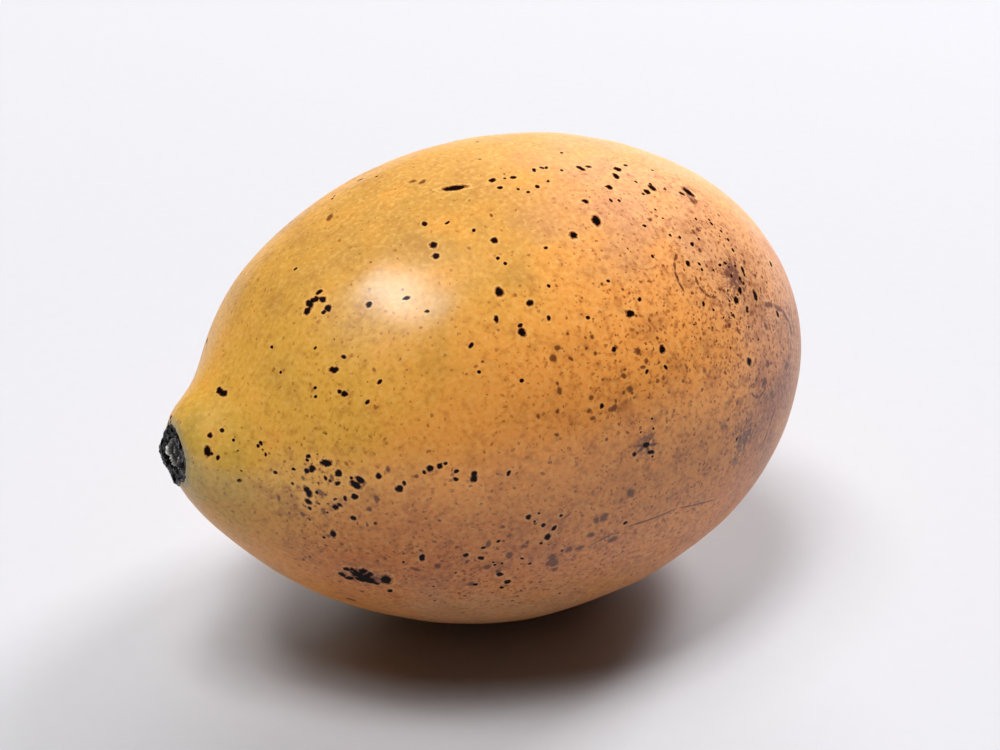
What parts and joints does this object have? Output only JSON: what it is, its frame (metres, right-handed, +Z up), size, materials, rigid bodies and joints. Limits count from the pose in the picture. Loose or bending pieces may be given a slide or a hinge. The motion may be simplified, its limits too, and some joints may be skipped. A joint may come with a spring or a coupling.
{
  "type": "marian plum",
  "caption": "Ripe marian plum lying on its side: an egg-shaped fruit with a pinched neck at the stem end, a dry black calyx collar and a broken stalk.",
  "frame": {"origin": "centre of the small flat spot on the underside that the fruit rests on", "axes": "+X along the fruit's axis from the stem end to the blossom end, +Z up, -Z out of the resting flat"},
  "size_m": [0.0625, 0.045, 0.0436],
  "materials": {
    "skin": "waxy satin fruit skin, yellow-olive at the stem, orange in the middle, pinkish brown at the blossom end, with fine freckles and dark specks",
    "dry_calyx": "shrivelled, nearly black, half-gloss",
    "dry_stalk": "grey broken wood fibre, rough"
  },
  "bodies": {
    "root": {"fruit_body": "skin", "calyx_collar": "dry_calyx", "stalk_stub": "dry_stalk"}
  },
  "joints": []
}
